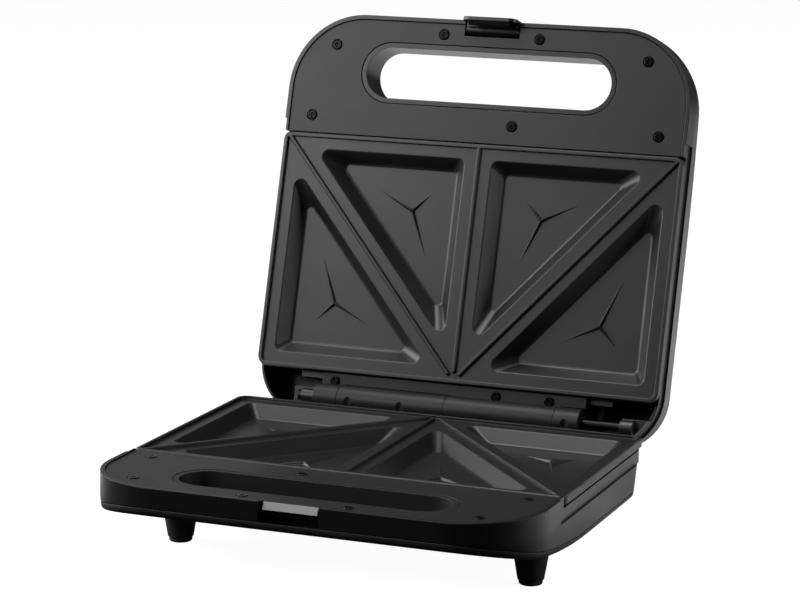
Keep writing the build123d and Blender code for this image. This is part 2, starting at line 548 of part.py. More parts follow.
def lid_shell():
    """Outer shell of the lid, in one piece with its slot ring, hinge rib, ears and bosses."""
    floor = -CAVITY_DEPTH - 1
    inside = body(LID_REAR, LID_REAR_RADIUS, WALL, CAVITY_DEPTH)
    solid = shell_outside(LID_REAR, LID_REAR_RADIUS, LID_REAR_RADIUS - BAND_REAR_INSET, LID_EDGE)
    shell = solid - inside - between(panel_outline(PANEL_GAP), PANEL_BOTTOM - SEAT_GAP, BEHIND)
    added = cross_wall(floor)
    for x, y in PANEL_SCREWS:
        added += post(x, y, BOSS_RADIUS, floor, PANEL_BOTTOM)
    for x in (-TAB_X, TAB_X):
        added += post(x, TAB_SCREW_Y, BOSS_RADIUS, floor, WEB_TOP)
    rib = -LEFT_EAR[0]
    added += block(-rib, rib, STRIP_SEAT_FRONT, KNUCKLE_RADIUS + 3, floor, LOW_RIM_Z)
    for x, y in BRACKET_SCREWS:
        added += post(-x, y, BOSS_RADIUS, floor, LOW_RIM_Z)
        added += post(x, y, BOSS_RADIUS, floor, LOW_RIM_Z)
    for x, y in REFLECTOR_LUGS:
        added += post(x, y, BOSS_RADIUS + 0.5, floor, REFLECTOR_LOW)
    plate_seat = PLATE_UNDER - PLATE_BOSS_DEPTH
    added += post(0, PLATE_BOSS_Y, BOSS_RADIUS, floor, plate_seat)
    cheek = LATCH_NOTCH + LATCH_CHEEK
    wall_rear = LATCH_NOTCH_REAR - LATCH_WALL
    for side in (-1, 1):
        added += block(side * LATCH_NOTCH, side * cheek, PANEL_FRONT, wall_rear, floor, PANEL_BOTTOM)
    added += block(-cheek, cheek, LATCH_NOTCH_REAR - STOP_GAP, wall_rear, floor, PANEL_BOTTOM)
    added += ear(-RIGHT_EAR[1], -RIGHT_EAR[0], -RIGHT_EAR[0] - EAR_BOSS_LENGTH)
    added += ear(-LEFT_EAR[1], -LEFT_EAR[0], -LEFT_EAR[1])
    shell = shell + (added & under(DEPTH - 0.5)) - stadium(SLOT_GAP, -2 * DEPTH, BEHIND) + slot_wall()
    shell -= block(-LATCH_NOTCH, LATCH_NOTCH, FRONT + BEHIND, LATCH_NOTCH_REAR - STOP_GAP, LATCH_RECESS_FLOOR, BEHIND)
    pin_end = LATCH_NOTCH + LATCH_PIN_END + LATCH_GAP
    shell -= lying(LATCH_PIN_RADIUS + HOLE_CLEARANCE, -pin_end, pin_end, LATCH_PIVOT_Y, LATCH_PIVOT_Z)
    shell -= blind_holes()
    for x in (-LAMP_X, LAMP_X):
        shell -= on_face(x, LAMP_Y) * Cylinder(LAMP_RADIUS + HOLE_CLEARANCE, 12)
    shell -= screw_hole(0, PLATE_BOSS_Y, -DEPTH - 2, 0)
    shell -= head_hole(0, PLATE_BOSS_Y, -DEPTH - 2, plate_seat - PLATE_SEAT)
    shell -= lying(HINGE_PIN_RADIUS + HOLE_CLEARANCE, -PIN_RIGHT - 0.5, -PIN_LEFT + 0.5, 0, -HINGE_Z)
    return shell - sleeve_hole(-SLEEVE_X, STRIP_SEAT_FRONT)


def ear(x0, x1, boss_start):
    """Lid ear that holds the hinge pin, with the heel that stops the lid when it is open."""
    boss = lying(EAR_BOSS_RADIUS, boss_start, boss_start + EAR_BOSS_LENGTH, 0, -HINGE_Z)
    arm = block(x0, x1, EAR_FRONT, EAR_REAR, -DEPTH, -HINGE_Z)
    arm &= body(LID_REAR, LID_REAR_RADIUS, WALL / 2, DEPTH - SKIN / 2)
    angle = math.radians(LID_OPEN_ANGLE)
    stop = BASE_REAR + BAND_REAR_INSET - STOP_GAP
    reach = (stop - EAR_REAR * math.cos(angle)) / math.sin(angle)
    heel_end = boss_start + EAR_BOSS_LENGTH
    heel = block(boss_start, heel_end, HEEL_FRONT, EAR_REAR, -HINGE_Z - HEEL_ROOT, -HINGE_Z + reach)
    return boss + arm + heel


# --- handle panels -------------------------------------------------------------------------------------
def handle_panel(latch_edge):
    """Flat handle panel with its slot; latch_edge is how far it reaches in front at the latch."""
    panel = between(panel_outline(0), PANEL_BOTTOM, PANEL_Z) - stadium(0, -DEPTH, BEHIND)
    panel -= block(-LATCH_NOTCH, LATCH_NOTCH, FRONT + BEHIND, latch_edge, -DEPTH, BEHIND)
    seat = PANEL_Z - HEAD_HEIGHT + HEAD_PROUD
    for x, y in PANEL_SCREWS:
        panel -= screw_hole(x, y, -DEPTH, BEHIND)
        panel -= head_hole(x, y, seat, BEHIND)
    return panel


def panel_screws():
    """Seven screws that hold a handle panel, their heads just proud of it."""
    return Compound(children=[screw(x, y, PANEL_Z + HEAD_PROUD, PANEL_SCREW_LENGTH) for x, y in PANEL_SCREWS])


# --- cooking plates ------------------------------------------------------------------------------------
def mirrored(piece):
    """A right-hand form and its left-hand twin."""
    return piece + piece.mirror(Plane.YZ)


def rounded_triangle(corners, inset, radius):
    """Triangle with rounded corners, drawn in from its corner points by inset."""
    face = make_face(Polyline(*[(x, -y) for x, y in corners], close=True))
    if inset > 0:
        face = offset(face, -inset)
    return fillet(face.vertices(), radius)


def pocket_corners():
    """Corner points of the right-hand outer and inner pockets' mouths."""
    side = PLATE_HALF_WIDTH - SIDE_MARGIN
    rear = PLATE_REAR + REAR_MARGIN
    front = PLATE_FRONT - FRONT_MARGIN
    run = DIAGONAL_FRONT[0] - DIAGONAL_REAR[0]
    fall = DIAGONAL_FRONT[1] - DIAGONAL_REAR[1]
    slope = fall / run
    shift = RIDGE_MARGIN * math.hypot(run, fall) / run

    def on_ridge(x):
        return DIAGONAL_REAR[1] + slope * (x - DIAGONAL_REAR[0])

    def at_height(y):
        return DIAGONAL_REAR[0] + (y - DIAGONAL_REAR[1]) / slope

    outer = ((side, on_ridge(side) - shift), (side, rear), (at_height(rear + shift), rear))
    centre = CENTRE_MARGIN
    inner = ((at_height(front - shift), front), (centre, front), (centre, on_ridge(centre) + shift))
    return outer, inner


def pocket(corners, grow, deepen):
    """Sloped pocket form; grow widens it and deepen lowers its floor for the plate's underside."""
    mouth = Pos(0, 0, MARGIN_Z) * rounded_triangle(corners, 0, POCKET_CORNER)
    floor = rounded_triangle(corners, POCKET_SLOPE, POCKET_FLOOR_CORNER)
    if grow > 0:
        mouth = offset(mouth, grow)
        floor = offset(floor, grow)
    return loft([mouth, Pos(0, 0, POCKET_Z - deepen) * floor])


def raised_mark(corners, outer):
    """Three crested arms on a pocket's floor that run out to points and split a sandwich."""
    legs = -1 if outer else 1
    turn = corners[1]
    middle = (turn[0] + legs * MARK_INSET, turn[1] - legs * MARK_INSET)
    full = Polyline((-MARK_HALF_WIDTH, -MARK_ROOT), (0, MARK_HEIGHT), (MARK_HALF_WIDTH, -MARK_ROOT), close=True)
    full = Plane.YZ * make_face(full)
    arms = []
    for x, y in corners:
        end = (middle[0] + MARK_REACH * (x - middle[0]), middle[1] + MARK_REACH * (y - middle[1]))
        length = math.hypot(end[0] - middle[0], end[1] - middle[1])
        angle = math.degrees(math.atan2(-(end[1] - middle[1]), end[0] - middle[0]))
        tip = Pos(length, 0, -MARK_ROOT / 2) * scale(full, 0.1)
        arms.append(Pos(middle[0], -middle[1]) * Rot(0, 0, angle) * loft([full, tip], ruled=True))
    return Pos(0, 0, POCKET_Z) * (arms[0] + arms[1] + arms[2])


def ridge(start, end):
    """Raised crimping ridge with rounded ends between two points of the plate."""
    length = math.hypot(end[0] - start[0], end[1] - start[1])
    angle = math.degrees(math.atan2(-(end[1] - start[1]), end[0] - start[0]))
    middle = Pos((start[0] + end[0]) / 2, -(start[1] + end[1]) / 2, MARGIN_Z - 0.5)
    bar = extrude(middle * Rot(0, 0, angle) * SlotOverall(length + RIDGE_WIDTH, RIDGE_WIDTH), RIDGE_Z - MARGIN_Z + 0.5)
    return chamfer(bar.edges().group_by(Axis.Z)[-1], 0.5)


def plate_outline(inset):
    """Plan outline of a cooking plate, drawn in by inset."""
    return plan(PLATE_HALF_WIDTH - inset, PLATE_FRONT - inset, PLATE_REAR + inset,
                PLATE_FRONT_RADIUS - inset, PLATE_REAR_RADIUS - inset)


def element_lug(x, y, along_x):
    """Cast hook that is peened over the heating element; it opens towards the plate's middle."""
    length = LUG_WIDTH / 2
    low = ELEMENT_Z - ELEMENT_RADIUS - SEAT_GAP - LUG_THICKNESS
    reach = ELEMENT_RADIUS + HOLE_CLEARANCE
    if along_x:
        out = math.copysign(1, y - PLATE_FRONT / 2)
        stem = block(x - length, x + length, y + out * reach, y + out * (reach + LUG_THICKNESS), low, PLATE_UNDER)
        lip = block(x - length, x + length, y, y + out * (reach + LUG_THICKNESS), low, low + LUG_THICKNESS)
        return stem + lip
    out = math.copysign(1, x)
    stem = block(x + out * reach, x + out * (reach + LUG_THICKNESS), y - length, y + length, low, PLATE_UNDER)
    return stem + block(x, x + out * (reach + LUG_THICKNESS), y - length, y + length, low, low + LUG_THICKNESS)


def cooking_plate():
    """Cast plate: raised rim and ridges, four sloped pockets with marks, lugs, tabs and a boss."""
    plate = between(plate_outline(0), PLATE_UNDER, RIDGE_Z)
    plate = chamfer(plate.edges().group_by(Axis.Z)[-1], 0.5)
    plate -= between(plate_outline(RIDGE_WIDTH), MARGIN_Z, BEHIND)
    outer, inner = pocket_corners()
    for corners in (outer, inner):
        plate += mirrored(pocket(corners, POCKET_SKIN, POCKET_SKIN))
    for corners in (outer, inner):
        hollow = pocket(corners, 0, 0)
        hollow = fillet(hollow.edges().group_by(Axis.Z)[0], POCKET_FLOOR_FILLET)
        plate -= mirrored(hollow)
    mouths = plate.edges().filter_by_position(Axis.Z, MARGIN_Z - 0.01, MARGIN_Z + 0.01)
    inside = PLATE_HALF_WIDTH - RIDGE_WIDTH - 1
    mouths = [edge for edge in mouths if abs(edge.center().X) < inside
              and PLATE_REAR + 4 < -edge.center().Y < PLATE_FRONT - 4]
    plate = fillet(mouths, POCKET_MOUTH_FILLET)
    for corners in (outer, inner):
        plate += mirrored(raised_mark(corners, corners is outer))
    plate += ridge((0, PLATE_REAR + CENTRE_RIDGE_END[0]), (0, PLATE_FRONT - CENTRE_RIDGE_END[1]))
    plate += mirrored(ridge(DIAGONAL_REAR, DIAGONAL_FRONT))
    side = PLATE_HALF_WIDTH - ELEMENT_SIDE_INSET
    for x in (-TAB_X, TAB_X):
        plate += block(x - TAB_HALF_WIDTH, x + TAB_HALF_WIDTH, PLATE_FRONT + TAB_REACH, PLATE_FRONT - TAB_ROOT,
                       PLATE_UNDER - TAB_THICKNESS, PLATE_UNDER)
        plate += element_lug(x, PLATE_REAR + ELEMENT_INSET, True)
        plate += element_lug(x * 0.5, PLATE_FRONT - ELEMENT_INSET, True)
        plate += element_lug(math.copysign(side, x), LUG_Y, False)
        plate -= screw_hole(x, TAB_SCREW_Y, -DEPTH, 0)
    plate += post(0, PLATE_BOSS_Y, BOSS_RADIUS, PLATE_UNDER - PLATE_BOSS_DEPTH, PLATE_UNDER)
    return plate - screw_hole(0, PLATE_BOSS_Y, -DEPTH, PLATE_UNDER + 0.5)


def plate_screws():
    """Two screws through the plate's front tabs and one up into its rear boss."""
    top = WEB_TOP + TAB_THICKNESS + HEAD_HEIGHT
    screws = [screw(x, TAB_SCREW_Y, top, TAB_SCREW_LENGTH) for x in (-TAB_X, TAB_X)]
    seat = PLATE_UNDER - PLATE_BOSS_DEPTH - PLATE_SEAT
    rear = screw(0, 0, 0, PLATE_SCREW_LENGTH).rotate(Axis.X, 180)
    return Compound(children=screws + [Pos(0, -PLATE_BOSS_Y, seat - HEAD_HEIGHT) * rear])


# --- heating -------------------------------------------------------------------------------------------
def heating_element():
    """Tubular element round the plate's margin, with its two terminal pins at the rear."""
    side = PLATE_HALF_WIDTH - ELEMENT_SIDE_INSET
    rear = -PLATE_REAR - ELEMENT_INSET
    front = -PLATE_FRONT + ELEMENT_INSET
    path = FilletPolyline((ELEMENT_END, rear, ELEMENT_Z), (side, rear, ELEMENT_Z), (side, front, ELEMENT_Z),
                          (-side, front, ELEMENT_Z), (-side, rear, ELEMENT_Z), (-ELEMENT_END, rear, ELEMENT_Z),
                          radius=ELEMENT_BEND)
    tube = sweep(Plane(path @ 0, z_dir=path % 0) * Circle(ELEMENT_RADIUS), path=path)
    for sign in (-1, 1):
        tube += lying(PIN_RADIUS, sign * (ELEMENT_END + PIN_ROOT), sign * (ELEMENT_END - PIN_LENGTH), -rear, ELEMENT_Z)
    return tube


def reflector():
    """Shallow bright tray under the element, with a turned-up lip."""
    outline = plan(REFLECTOR_HALF_WIDTH, REFLECTOR_FRONT, REFLECTOR_REAR, REFLECTOR_CORNER, REFLECTOR_CORNER)
    inner = offset(outline, -REFLECTOR_THICKNESS)
    tray = between(outline, REFLECTOR_LOW, REFLECTOR_Z + REFLECTOR_LIP) - between(inner, REFLECTOR_Z, 0)
    for x, y in REFLECTOR_LUGS:
        tray -= screw_hole(x, y, -DEPTH, 0)
    return tray


def reflector_screws():
    """Four screws that hold the reflector down."""
    return Compound(children=[screw(x, y, REFLECTOR_Z + HEAD_HEIGHT, REFLECTOR_SCREW_LENGTH, REFLECTOR_HEAD_RADIUS)
                              for x, y in REFLECTOR_LUGS])


# --- hinge ---------------------------------------------------------------------------------------------
def hinge_bracket(axis_z):
    """Strip with a long and a short knuckle; the same form serves both halves."""
    strip = block(-STRIP_HALF_LENGTH, STRIP_HALF_LENGTH, STRIP_FRONT, KNUCKLE_RADIUS + KNUCKLE_CLEARANCE,
                  LOW_RIM_Z, STRIP_TOP)
    ease = KNUCKLE_GAP / 2
    for x0, x1 in ((-KNUCKLE_SPLIT + ease, -ease), (KNUCKLE_SPLIT + ease, STRIP_HALF_LENGTH)):
        strip += lying(KNUCKLE_RADIUS, x0, x1, 0, axis_z)
        strip += block(x0, x1, KNUCKLE_RADIUS + 1, 0, LOW_RIM_Z, STRIP_TOP)
    strip -= lying(HINGE_PIN_RADIUS + HOLE_CLEARANCE, -HALF_WIDTH, HALF_WIDTH, 0, axis_z)
    for x, y in BRACKET_SCREWS:
        strip -= screw_hole(x, y, -DEPTH, BEHIND)
        strip -= head_hole(x, y, STRIP_TOP, BEHIND)
    return strip


def bracket_screws():
    """Three screws that hold a hinge bracket down."""
    return Compound(children=[screw(x, y, STRIP_TOP + HEAD_HEIGHT, STRIP_SCREW_LENGTH) for x, y in BRACKET_SCREWS])


def hinge_pin():
    """Steel pin through all four knuckles and both ears, with a slight point at each end."""
    pin = lying(HINGE_PIN_RADIUS, PIN_LEFT, PIN_RIGHT, 0, HINGE_Z)
    return chamfer(pin.edges().filter_by(GeomType.CIRCLE), 0.6)


# --- latch ---------------------------------------------------------------------------------------------
def latch():
    """Latch clip: outer plate, hook with its lead-in, hub on the pin and a stiffening rib."""
    half = LATCH_HALF_WIDTH
    inner = LATCH_PLATE_INNER
    plate = block(-half, half, inner + LATCH_PLATE_THICKNESS, inner, LATCH_BOTTOM, LATCH_TOP)
    ends = plate.edges().filter_by(Axis.Y).group_by(Axis.Z)[-1]
    plate = fillet(ends, LATCH_CORNER)
    foot = plate.edges().filter_by(Axis.X).group_by(Axis.Z)[0].sort_by(Axis.Y)[0]
    plate = fillet(foot, LATCH_SWING_ROUND)
    root = inner + 0.5
    hook_low = -CATCH_BOTTOM + HOOK_GAP
    hook = Polyline((-root, hook_low), (-HOOK_TIP, hook_low), (-HOOK_TIP, hook_low + HOOK_LIP), (-root, LATCH_TOP),
                    close=True)
    hook = extrude(Plane.YZ * make_face(hook), half - HOOK_INSET, both=True)
    hub = lying(LATCH_HUB_RADIUS, -half, half, LATCH_PIVOT_Y, LATCH_PIVOT_Z)
    web_low = LATCH_PIVOT_Z - LATCH_HUB_RADIUS + 0.7
    web = block(-half, half, root, LATCH_PIVOT_Y, web_low, LATCH_PIVOT_Z + LATCH_HUB_RADIUS)
    rib = block(-half + 1, half - 1, root, HOOK_TIP, -0.4, 0.5)
    hole = lying(LATCH_PIN_RADIUS + HOLE_CLEARANCE, -half - 1, half + 1, LATCH_PIVOT_Y, LATCH_PIVOT_Z)
    return plate + hook + hub + web + rib - hole


def latch_pin():
    """Steel pin of the latch, held in the lid's two cheeks."""
    reach = LATCH_NOTCH + LATCH_PIN_END
    return lying(LATCH_PIN_RADIUS, -reach, reach, LATCH_PIVOT_Y, LATCH_PIVOT_Z)


def latch_catch():
    """Slanted catch in the base's front notch, with the tongue that holds it under the panel."""
    half = LATCH_HALF_WIDTH - CATCH_INSET
    front = CATCH_FRONT
    back = CATCH_FRONT - CATCH_LEAN
    strip = Polyline((-back, CATCH_TOP), (-front, CATCH_BOTTOM), (-front + CATCH_THICKNESS, CATCH_BOTTOM),
                     (-back + CATCH_THICKNESS, CATCH_TOP), close=True)
    strip = extrude(Plane.YZ * make_face(strip), half, both=True)
    low = PANEL_BOTTOM - CATCH_SHEET
    return strip + block(-half + 1, half - 1, front - 1.2, CATCH_REAR, low, PANEL_BOTTOM - HOLE_CLEARANCE)


# --- feet, lamps and fittings --------------------------------------------------------------------------
def foot_pads():
    """Rubber pad with a plug in the end of each leg."""
    pads = []
    for x, leg_y, rake in LEGS:
        y = leg_y - rake
        pad = post(x, y, PAD_RADIUS, TABLE_Z, TABLE_Z + PAD_HEIGHT)
        pad = fillet(pad.edges().group_by(Axis.Z)[0], PAD_EDGE)
        pads.append(pad + post(x, y, PAD_PLUG_RADIUS, TABLE_Z + PAD_EDGE, TABLE_Z + PAD_HEIGHT + PAD_PLUG_LENGTH))
    return Compound(children=pads)


def cover_screws():
    """Screws up through the bottom cover, their heads sunk in it."""
    turned = screw(0, 0, 0, COVER_SCREW_LENGTH).rotate(Axis.X, 180)
    return Compound(children=[Pos(x, -y, -DEPTH + rise(y) + SUNK) * turned for x, y in COVER_SCREWS])


def lamp_lenses():
    """Two pilot lamp lenses in the lid's outer face."""
    lenses = []
    for x in (-LAMP_X, LAMP_X):
        stem = Pos(0, 0, LAMP_LENGTH / 2) * Cylinder(LAMP_RADIUS, LAMP_LENGTH)
        cap = Pos(0, 0, -LAMP_RIM / 2) * Cylinder(LAMP_RADIUS + LAMP_RIM, LAMP_RIM)
        cap = fillet(cap.edges().group_by(Axis.Z)[0], 0.9)
        lenses.append(on_face(x, LAMP_Y) * (stem + cap))
    return Compound(children=lenses)


def lamp_holder():
    """Small holder with the two lamps, fixed to the wall between plate and handle."""
    width, reach, height = HOLDER_SIZE
    low = -DEPTH + rise(LAMP_Y) + LAMP_LENGTH + 0.9
    return block(HOLDER_OFFSET - width / 2, HOLDER_OFFSET + width / 2, LAST_WALL + reach, LAST_WALL, low, low + height)


def on_rear_wall(x, z):
    """Place on the base's leaning rear wall, its Z axis square to the wall and outwards."""
    rear = BASE_REAR + (BULGE_Z - z) * math.tan(math.radians(LOWER_TAPER))
    return Pos(x, -rear, z) * Rot(-90 - LOWER_TAPER, 0, 0)


def cord_inlet():
    """Bush in the rear wall where the supply cord enters."""
    bush = Pos(0, 0, -2) * Cylinder(INLET_RADIUS - HOLE_CLEARANCE, 9)
    flange = Pos(0, 0, 1.0) * Cylinder(INLET_RADIUS + 1.8, 1.8)
    return on_rear_wall(INLET_X, INLET_Z) * (bush + flange - Cylinder(INLET_BORE, 30))


def thermostat():
    """Disc thermostat on the underside of the reflector, with its two blades."""
    length, width, thickness = BLADE
    top = REFLECTOR_LOW
    disc = post(THERMOSTAT_X, HEAT_PARTS_Y, THERMOSTAT_RADIUS, top - THERMOSTAT_HEIGHT, top)
    for side in (-1, 1):
        y = HEAT_PARTS_Y + side * (THERMOSTAT_RADIUS + width / 2)
        for half, start in ((length / 2, y - side * width / 2), (width / 2, HEAT_PARTS_Y)):
            disc += block(THERMOSTAT_X - half, THERMOSTAT_X + half, start, y + side * width / 2,
                          BLADE_Z - thickness / 2, BLADE_Z + thickness / 2)
    return disc


def thermal_fuse():
    """Thermal fuse in its clip on the underside of the reflector."""
    clip = FUSE_RADIUS + 0.6
    start = FUSE_END - FUSE_LENGTH
    return (lying(FUSE_RADIUS, start, FUSE_END, HEAT_PARTS_Y, BLADE_Z)
            + block(start + 3, FUSE_END - 3, HEAT_PARTS_Y + clip, HEAT_PARTS_Y - clip, BLADE_Z, REFLECTOR_LOW))


def terminal_block():
    """Terminal block on the bottom cover, beside the cord inlet."""
    width, reach, height = BLOCK_SIZE
    housing = block(INLET_X - width / 2, INLET_X + width / 2, BLOCK_REAR + reach, BLOCK_REAR,
                    -CAVITY_DEPTH, -CAVITY_DEPTH + height)
    for x in (INLET_X - width / 3, INLET_X, INLET_X + width / 3):
        for y in (BLOCK_REAR + reach / 4, BLOCK_REAR + reach * 3 / 4):
            housing -= post(x, y, BLOCK_HOLE_RADIUS, -CAVITY_DEPTH + height - 2.5, 0)
    return housing


def wire(*points):
    """Insulated wire along straight runs joined by tangent arcs."""
    path = FilletPolyline(*[(x, -y, z) for x, y, z in points], radius=WIRE_BEND)
    return sweep(Plane(path @ 0, z_dir=path % 0) * Circle(WIRE_RADIUS), path=path)


def element_pin():
    """Place of the element's right terminal pin, on its outer side."""
    return ELEMENT_END - PIN_LENGTH + 2, PLATE_REAR + ELEMENT_INSET, ELEMENT_Z - PIN_RADIUS


def base_wires():
    """Wires from the terminal block to the element, the thermostat and the lid's lead."""
    pin_x, pin_y, pin_z = element_pin()
    width, reach, height = BLOCK_SIZE
    left = INLET_X - width / 2
    right = INLET_X + width / 2
    low = -CAVITY_DEPTH + 2.2
    blade_y = THERMOSTAT_RADIUS + BLADE[1] / 2
    near = HEAT_PARTS_Y - blade_y
    far = HEAT_PARTS_Y + blade_y
    ends = THERMOSTAT_X + BLADE[0] / 2
    runs = [wire((left, BLOCK_REAR + 3, low + 3), (pin_x, BLOCK_REAR + 3, low + 3), (pin_x, pin_y, low + 9),
                 (pin_x, pin_y, pin_z)),
            wire((left, BLOCK_REAR + 9, low), (-pin_x, BLOCK_REAR + 9, low), (-pin_x, pin_y, low + 6),
                 (-pin_x, pin_y, pin_z)),
            wire((INLET_X - 4, BLOCK_REAR + reach, BLADE_Z), (INLET_X - 4, near, BLADE_Z), (ends, near, BLADE_Z)),
            wire((ends - BLADE[0], far, BLADE_Z), (ends - 2 * BLADE[0], far, BLADE_Z),
                 (ends - 2 * BLADE[0], HEAT_PARTS_Y, BLADE_Z), (FUSE_END, HEAT_PARTS_Y, BLADE_Z)),
            wire((right, BLOCK_REAR + 6, low + 2), (SLEEVE_X, BLOCK_REAR + 6, low + 2),
                 (SLEEVE_X, BLOCK_REAR + 6, SLEEVE_Z), (SLEEVE_X, SLEEVE_START + HOLE_CLEARANCE, SLEEVE_Z))]
    return Compound(children=runs)


def lid_wires():
    """Wires from the lid's lead to the two pins of its element."""
    pin_x, pin_y, pin_z = element_pin()
    start = SLEEVE_START + 0.7 * WIRE_RADIUS
    runs = []
    for x, aside, y, deep in ((-pin_x, 1, 27, -20.0), (pin_x, -1, 31, -24.0)):
        begin = -SLEEVE_X + aside * (WIRE_RADIUS + HOLE_CLEARANCE)
        runs.append(wire((begin, start, SLEEVE_Z), (begin, y, deep), (x, y, deep),
                         (x, pin_y, deep + 6), (x, pin_y, pin_z)))
    return Compound(children=runs)


def sleeve_hole(x, y):
    """Hole for the lead's sleeve through a wall whose face is at y."""
    return Pos(x, -y, SLEEVE_Z) * Rot(90, 0, 0) * Cylinder(SLEEVE_RADIUS + HEAD_CLEARANCE, 5 * WALL)


def lead_sleeve(x, end):
    """Sleeve on the lead to the lid, where it leaves a half beside the hinge."""
    sleeve = Rot(90, 0, 0) * Cylinder(SLEEVE_RADIUS, SLEEVE_START - end)
    sleeve = Pos(x, -(SLEEVE_START + end) / 2, SLEEVE_Z) * sleeve
    return fillet(sleeve.edges().group_by(Axis.Y)[-1], 0.6)


# --- assembly ------------------------------------------------------------------------------------------
BASE_PIECES = {
    "base_shell": base_shell(),
    "bottom_cover": bottom_cover(),
    "cover_screws": cover_screws(),
    "foot_pads": foot_pads(),
    "base_panel": handle_panel(PANEL_CUT_BACK),
    "base_panel_screws": panel_screws(),
    "base_plate": cooking_plate(),
    "base_plate_screws": plate_screws(),
    "base_element": heating_element(),
    "base_reflector": reflector(),
    "base_reflector_screws": reflector_screws(),
    "base_hinge_bracket": hinge_bracket(HINGE_Z),
    "base_bracket_screws": bracket_screws(),
    "latch_catch": latch_catch(),
    "cord_inlet": cord_inlet(),
    "thermostat": thermostat(),
    "thermal_fuse": thermal_fuse(),
    "terminal_block": terminal_block(),
    "base_wires": base_wires(),
    "base_lead_sleeve": lead_sleeve(SLEEVE_X, 1.0),
}
LID_PIECES = {
    "lid_shell": lid_shell(),
    "lid_panel": handle_panel(LATCH_NOTCH_REAR),
    "lid_panel_screws": panel_screws(),
    "lid_plate": cooking_plate(),
    "lid_plate_screws": plate_screws(),
    "lid_element": heating_element(),
    "lid_reflector": reflector(),
    "lid_reflector_screws": reflector_screws(),
    "lid_hinge_bracket": hinge_bracket(-HINGE_Z),
    "lid_bracket_screws": bracket_screws(),
    "hinge_pin": hinge_pin().rotate(Axis.Y, 180),
    "lamp_lenses": lamp_lenses(),
    "lamp_holder": lamp_holder(),
    "lid_wires": lid_wires(),
    "lid_lead_sleeve": lead_sleeve(-SLEEVE_X, -4.0),
    "latch_pin": latch_pin(),
    "latch": latch(),
}

pieces = dict(BASE_PIECES)
for name, piece in LID_PIECES.items():
    pieces[name] = open_lid(piece)

boxes = [piece.bounding_box() for piece in pieces.values()]
middle_y = (min(box.min.Y for box in boxes) + max(box.max.Y for box in boxes)) / 2
to_origin = Pos(0, -middle_y, -TABLE_Z)
print("hinge axis: y", round(-middle_y, 3), "z", round(HINGE_Z - TABLE_Z, 3))

os.makedirs("parts", exist_ok=True)
for name, piece in pieces.items():
    export_step(to_origin * piece, os.path.join("parts", name + ".step"))
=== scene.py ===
import json
import math

import bmesh
import bpy
from bpy.props import FloatProperty, FloatVectorProperty, PointerProperty, StringProperty
from mathutils import Matrix, Vector


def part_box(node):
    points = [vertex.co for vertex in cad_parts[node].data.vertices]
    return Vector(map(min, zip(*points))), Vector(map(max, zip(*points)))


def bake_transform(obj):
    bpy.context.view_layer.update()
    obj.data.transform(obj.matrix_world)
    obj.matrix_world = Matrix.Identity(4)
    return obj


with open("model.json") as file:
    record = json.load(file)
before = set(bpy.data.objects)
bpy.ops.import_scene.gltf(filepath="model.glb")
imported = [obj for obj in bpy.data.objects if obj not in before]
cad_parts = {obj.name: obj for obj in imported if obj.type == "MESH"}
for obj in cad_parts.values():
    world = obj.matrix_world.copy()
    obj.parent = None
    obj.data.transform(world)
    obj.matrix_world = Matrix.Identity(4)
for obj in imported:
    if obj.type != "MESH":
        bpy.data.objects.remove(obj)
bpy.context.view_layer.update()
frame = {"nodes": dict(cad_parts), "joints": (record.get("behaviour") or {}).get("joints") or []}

bl_info = {
    "name": "Sandwich Toaster",
    "version": (1, 0, 0),
    "blender": (4, 5, 0),
    "location": "View3D > Sidebar > Toaster",
    "description": "Finishes, fine pieces and studio for a hinged two-slice sandwich toaster",
    "category": "Object",
}

MM = 0.001
HINGE = Vector(frame["joints"][0]["pos_m"])


# --- settings ------------------------------------------------------------------------------------------
class ToasterCamera(bpy.types.PropertyGroup):
    """Where the photograph was taken from."""

    offset: FloatVectorProperty(name="Offset", description="Camera place from the middle of the hinge axis",
                                default=(0.54613, -1.46501, 0.37580), subtype="TRANSLATION", unit="LENGTH")
    azimuth: FloatProperty(name="Azimuth", description="Turn about the vertical",
                           default=math.radians(21.426), subtype="ANGLE")
    elevation: FloatProperty(name="Elevation", description="Angle the camera looks down by",
                             default=math.radians(11.360), subtype="ANGLE")
    roll: FloatProperty(name="Roll", description="Tilt of the picture", default=math.radians(0.659), subtype="ANGLE")
    lens: FloatProperty(name="Focal length", description="On a sensor 36 mm wide", default=130.87)


class ToasterFinish(bpy.types.PropertyGroup):
    """Colours a user would change, as sRGB hex."""

    shell: StringProperty(name="Shell", description="Moulded shells and latch", default="#0B0B0C")
    panel: StringProperty(name="Handle panels", description="Flat panels round the slots", default="#141416")
    coating: StringProperty(name="Non-stick", description="Coating of the cooking plates", default="#131315")
    bracket: StringProperty(name="Hinge", description="Coated hinge brackets", default="#101012")
    catch: StringProperty(name="Catch", description="Latch catch in the front notch", default="#626262")
    floor: StringProperty(name="Floor", description="Studio floor", default="#F0F0F0")


class ToasterLights(bpy.types.PropertyGroup):
    """Strength of the soft studio lamps, in watts."""

    key: FloatProperty(name="Key", description="Front left softbox", default=23.0)
    top: FloatProperty(name="Top", description="Overhead softbox, a little behind", default=18.0)
    left: FloatProperty(name="Left", description="Card at the left", default=17.0)
    right: FloatProperty(name="Right", description="Card at the right", default=8.0)
    rear: FloatProperty(name="Rear", description="Card behind at the left", default=0.9)
    wash: FloatProperty(name="Wash", description="Lamp on the floor behind at the right", default=4.5)
    world: FloatProperty(name="World", description="Even light from all round", default=0.03)


class ToasterSettings(bpy.types.PropertyGroup):
    """All settings of the toaster."""

    camera: PointerProperty(type=ToasterCamera)
    finish: PointerProperty(type=ToasterFinish)
    lights: PointerProperty(type=ToasterLights)


